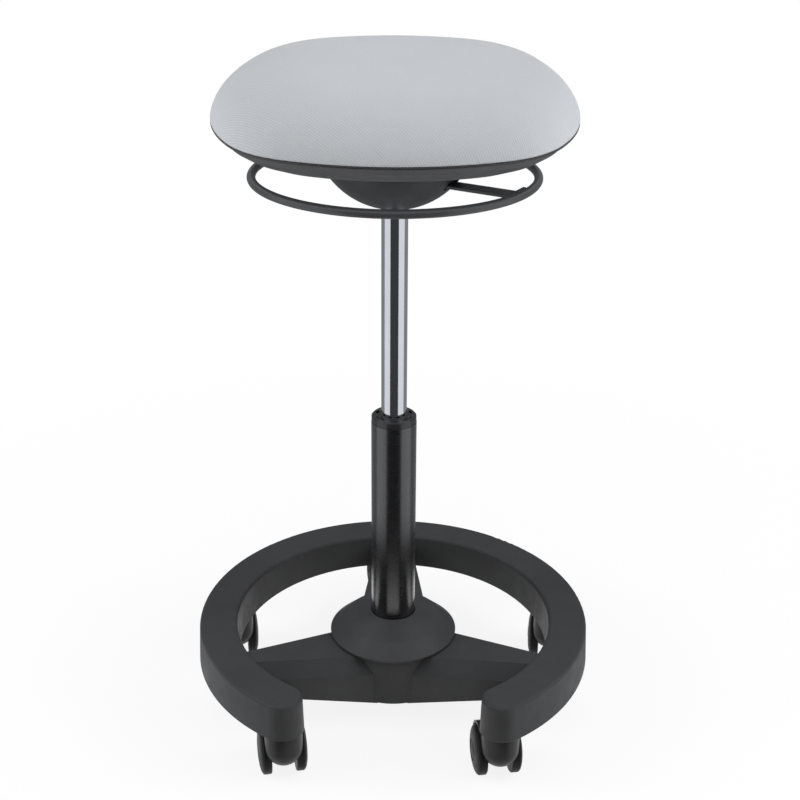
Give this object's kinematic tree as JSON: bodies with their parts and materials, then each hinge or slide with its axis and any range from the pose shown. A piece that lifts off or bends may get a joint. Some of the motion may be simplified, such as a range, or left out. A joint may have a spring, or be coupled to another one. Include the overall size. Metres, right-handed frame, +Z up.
{
  "type": "wobble stool",
  "caption": "Height-adjustable stool with a domed tilting seat on a gas column, a round release ring and a C-shaped ring base on swivel casters.",
  "frame": {"origin": "on the column axis at floor level, where the wheels touch the floor", "axes": "+Z up along the column, -Y towards the open front of the base and the front of the seat, +X to the right as seen from the front"},
  "size_m": [0.452, 0.4464, 0.754],
  "materials": {
    "moulded_base": "fine texture, charcoal",
    "hub_cover": "smooth satin, charcoal",
    "black_tube": "gloss black powder coat",
    "guide_plastic": "dark plastic",
    "chrome_cylinder": "polished hard chrome",
    "bright_steel": "plain bright steel",
    "rubber": "matt black rubber",
    "bowl_plastic": "satin dark grey",
    "lever_paint": "satin dark grey powder coat",
    "cast_head": "as cast",
    "bush_plastic": "natural bearing plastic",
    "seat_plate": "black",
    "seat_board": "plywood",
    "seat_shell": "fine texture, anthracite",
    "seat_fabric": "light bluish grey fine weave over foam",
    "caster_hood": "satin black",
    "caster_wheel": "black nylon wheel"
  },
  "bodies": {
    "base": {"base_frame": "moulded_base", "hub_cover": "hub_cover", "column_tube": "black_tube", "guide_sleeve": "guide_plastic", "race_lower": "bright_steel", "caster_socket_1": "bright_steel", "caster_socket_2": "bright_steel", "caster_socket_3": "bright_steel", "caster_socket_4": "bright_steel", "caster_socket_5": "bright_steel"},
    "spindle": {"piston_rod": "bright_steel", "race_upper": "bright_steel", "roller_cage": "bright_steel", "rod_clip": "bright_steel", "bump_stop": "rubber"},
    "lift": {"gas_cylinder": "chrome_cylinder", "cylinder_gland": "bright_steel", "tilt_head": "cast_head", "bowl_cover": "bowl_plastic", "lever_pin": "bright_steel", "bush_front": "bush_plastic", "bush_rear": "bush_plastic"},
    "lever": {"release_ring": "lever_paint", "lever_bar": "lever_paint"},
    "valve": {"valve_button": "bright_steel"},
    "gimbal": {"gimbal_cross": "cast_head"},
    "seat": {"seat_plate": "seat_plate", "tilt_buffer": "rubber", "seat_board": "seat_board", "seat_shell": "seat_shell", "seat_cushion": "seat_fabric", "bush_left": "bush_plastic", "bush_right": "bush_plastic"},
    "caster_1": {"caster_hood_1": "caster_hood", "caster_stem_1": "bright_steel", "caster_axle_1": "bright_steel"},
    "wheel_left_1": {"caster_wheel_left_1": "caster_wheel"},
    "wheel_right_1": {"caster_wheel_right_1": "caster_wheel"},
    "caster_2": {"caster_hood_2": "caster_hood", "caster_stem_2": "bright_steel", "caster_axle_2": "bright_steel"},
    "wheel_left_2": {"caster_wheel_left_2": "caster_wheel"},
    "wheel_right_2": {"caster_wheel_right_2": "caster_wheel"},
    "caster_3": {"caster_hood_3": "caster_hood", "caster_stem_3": "bright_steel", "caster_axle_3": "bright_steel"},
    "wheel_left_3": {"caster_wheel_left_3": "caster_wheel"},
    "wheel_right_3": {"caster_wheel_right_3": "caster_wheel"},
    "caster_4": {"caster_hood_4": "caster_hood", "caster_stem_4": "bright_steel", "caster_axle_4": "bright_steel"},
    "wheel_left_4": {"caster_wheel_left_4": "caster_wheel"},
    "wheel_right_4": {"caster_wheel_right_4": "caster_wheel"},
    "caster_5": {"caster_hood_5": "caster_hood", "caster_stem_5": "bright_steel", "caster_axle_5": "bright_steel"},
    "wheel_left_5": {"caster_wheel_left_5": "caster_wheel"},
    "wheel_right_5": {"caster_wheel_right_5": "caster_wheel"}
  },
  "joints": [
    {"name": "seat_swivel", "type": "hinge", "parent": "base", "child": "spindle", "pos_m": [0, 0, 0.037], "axis": [0, 0, 1], "continuous": true},
    {"name": "seat_height", "type": "slide", "parent": "spindle", "child": "lift", "axis": [0, 0, 1], "range_m": [-0.16, 0]},
    {"name": "release_lever", "type": "hinge", "parent": "lift", "child": "lever", "pos_m": [0.02252, -0.013, 0.621], "axis": [-0.5, -0.866, 0], "range_deg": [0, 2.86], "stiffness_Nm_per_rad": 20, "springref_deg": -1.72},
    {"name": "valve_press", "type": "slide", "parent": "lift", "child": "valve", "axis": [0, 0, 1], "range_m": [-0.0013, 0], "stiffness_N_per_m": 2000, "springref_m": 0.0005},
    {"name": "tilt_sideways", "type": "hinge", "parent": "lift", "child": "gimbal", "pos_m": [0, 0, 0.681], "axis": [0, 1, 0], "range_deg": [-4.5, 4.5], "stiffness_Nm_per_rad": 150},
    {"name": "tilt_fore_aft", "type": "hinge", "parent": "gimbal", "child": "seat", "pos_m": [0, 0, 0.681], "axis": [1, 0, 0], "range_deg": [-4.5, 4.5], "stiffness_Nm_per_rad": 150},
    {"name": "caster_swivel_1", "type": "hinge", "parent": "base", "child": "caster_1", "pos_m": [0, 0.2025, 0.085], "axis": [0, 0, 1], "continuous": true},
    {"name": "wheel_roll_left_1", "type": "hinge", "parent": "caster_1", "child": "wheel_left_1", "pos_m": [-0.00618, 0.22152, 0.0275], "axis": [0.9511, 0.309, 0], "continuous": true},
    {"name": "wheel_roll_right_1", "type": "hinge", "parent": "caster_1", "child": "wheel_right_1", "pos_m": [-0.00618, 0.22152, 0.0275], "axis": [0.9511, 0.309, 0], "continuous": true},
    {"name": "caster_swivel_2", "type": "hinge", "parent": "base", "child": "caster_2", "pos_m": [-0.19259, 0.06258, 0.085], "axis": [0, 0, 1], "continuous": true},
    {"name": "wheel_roll_left_2", "type": "hinge", "parent": "caster_2", "child": "wheel_left_2", "pos_m": [-0.19572, 0.08233, 0.0275], "axis": [0.9877, 0.1564, 0], "continuous": true},
    {"name": "wheel_roll_right_2", "type": "hinge", "parent": "caster_2", "child": "wheel_right_2", "pos_m": [-0.19572, 0.08233, 0.0275], "axis": [0.9877, 0.1564, 0], "continuous": true},
    {"name": "caster_swivel_3", "type": "hinge", "parent": "base", "child": "caster_3", "pos_m": [-0.11673, -0.16547, 0.085], "axis": [0, 0, 1], "continuous": true},
    {"name": "wheel_roll_left_3", "type": "hinge", "parent": "caster_3", "child": "wheel_left_3", "pos_m": [-0.12054, -0.14584, 0.0275], "axis": [0.9816, 0.1908, 0], "continuous": true},
    {"name": "wheel_roll_right_3", "type": "hinge", "parent": "caster_3", "child": "wheel_right_3", "pos_m": [-0.12054, -0.14584, 0.0275], "axis": [0.9816, 0.1908, 0], "continuous": true},
    {"name": "caster_swivel_4", "type": "hinge", "parent": "base", "child": "caster_4", "pos_m": [0.11673, -0.16547, 0.085], "axis": [0, 0, 1], "continuous": true},
    {"name": "wheel_roll_left_4", "type": "hinge", "parent": "caster_4", "child": "wheel_left_4", "pos_m": [0.11394, -0.14567, 0.0275], "axis": [0.9903, 0.1392, 0], "continuous": true},
    {"name": "wheel_roll_right_4", "type": "hinge", "parent": "caster_4", "child": "wheel_right_4", "pos_m": [0.11394, -0.14567, 0.0275], "axis": [0.9903, 0.1392, 0], "continuous": true},
    {"name": "caster_swivel_5", "type": "hinge", "parent": "base", "child": "caster_5", "pos_m": [0.19259, 0.06258, 0.085], "axis": [0, 0, 1], "continuous": true},
    {"name": "wheel_roll_left_5", "type": "hinge", "parent": "caster_5", "child": "wheel_left_5", "pos_m": [0.19468, 0.08247, 0.0275], "axis": [0.9945, -0.1045, 0], "continuous": true},
    {"name": "wheel_roll_right_5", "type": "hinge", "parent": "caster_5", "child": "wheel_right_5", "pos_m": [0.19468, 0.08247, 0.0275], "axis": [0.9945, -0.1045, 0], "continuous": true}
  ],
  "couplings": [
    {"joint": "valve_press", "follows": "release_lever", "m_per_rad": -0.026}
  ]
}
